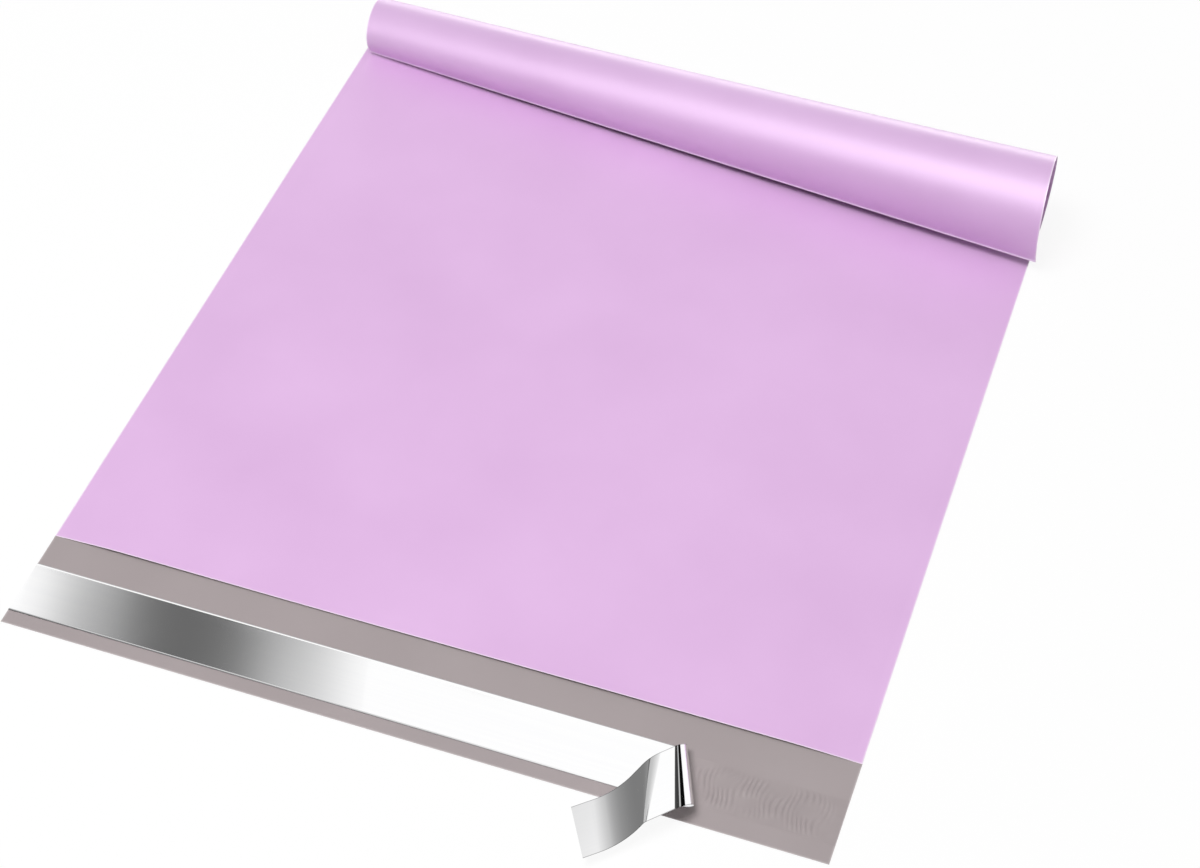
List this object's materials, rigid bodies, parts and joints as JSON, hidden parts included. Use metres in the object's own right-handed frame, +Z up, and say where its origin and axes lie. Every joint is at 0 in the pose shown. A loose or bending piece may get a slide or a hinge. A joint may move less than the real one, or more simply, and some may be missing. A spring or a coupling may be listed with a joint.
{
  "type": "poly mailer bag",
  "caption": "Empty lavender film mailer lying flat, with a grey closing flap, an adhesive band under a partly peeled silver liner, and its closed end curled over.",
  "frame": {"origin": "on the underside of the back panel, under the middle of the bag's level stretch and on its centre line", "axes": "+X across the bag to the side with the peeled liner end, +Y from the flap's tip to the curled closed end, +Z up off the table"},
  "size_m": [0.38, 0.4561, 0.0469],
  "materials": {
    "lavender_film": "satin lavender film outside, satin grey inside",
    "adhesive": "tacky, slightly rippled",
    "silver_liner": "bright metallised film"
  },
  "bodies": {
    "root": {"mailer_film": "lavender_film", "adhesive_strip": "adhesive", "release_liner": "silver_liner"}
  },
  "joints": []
}
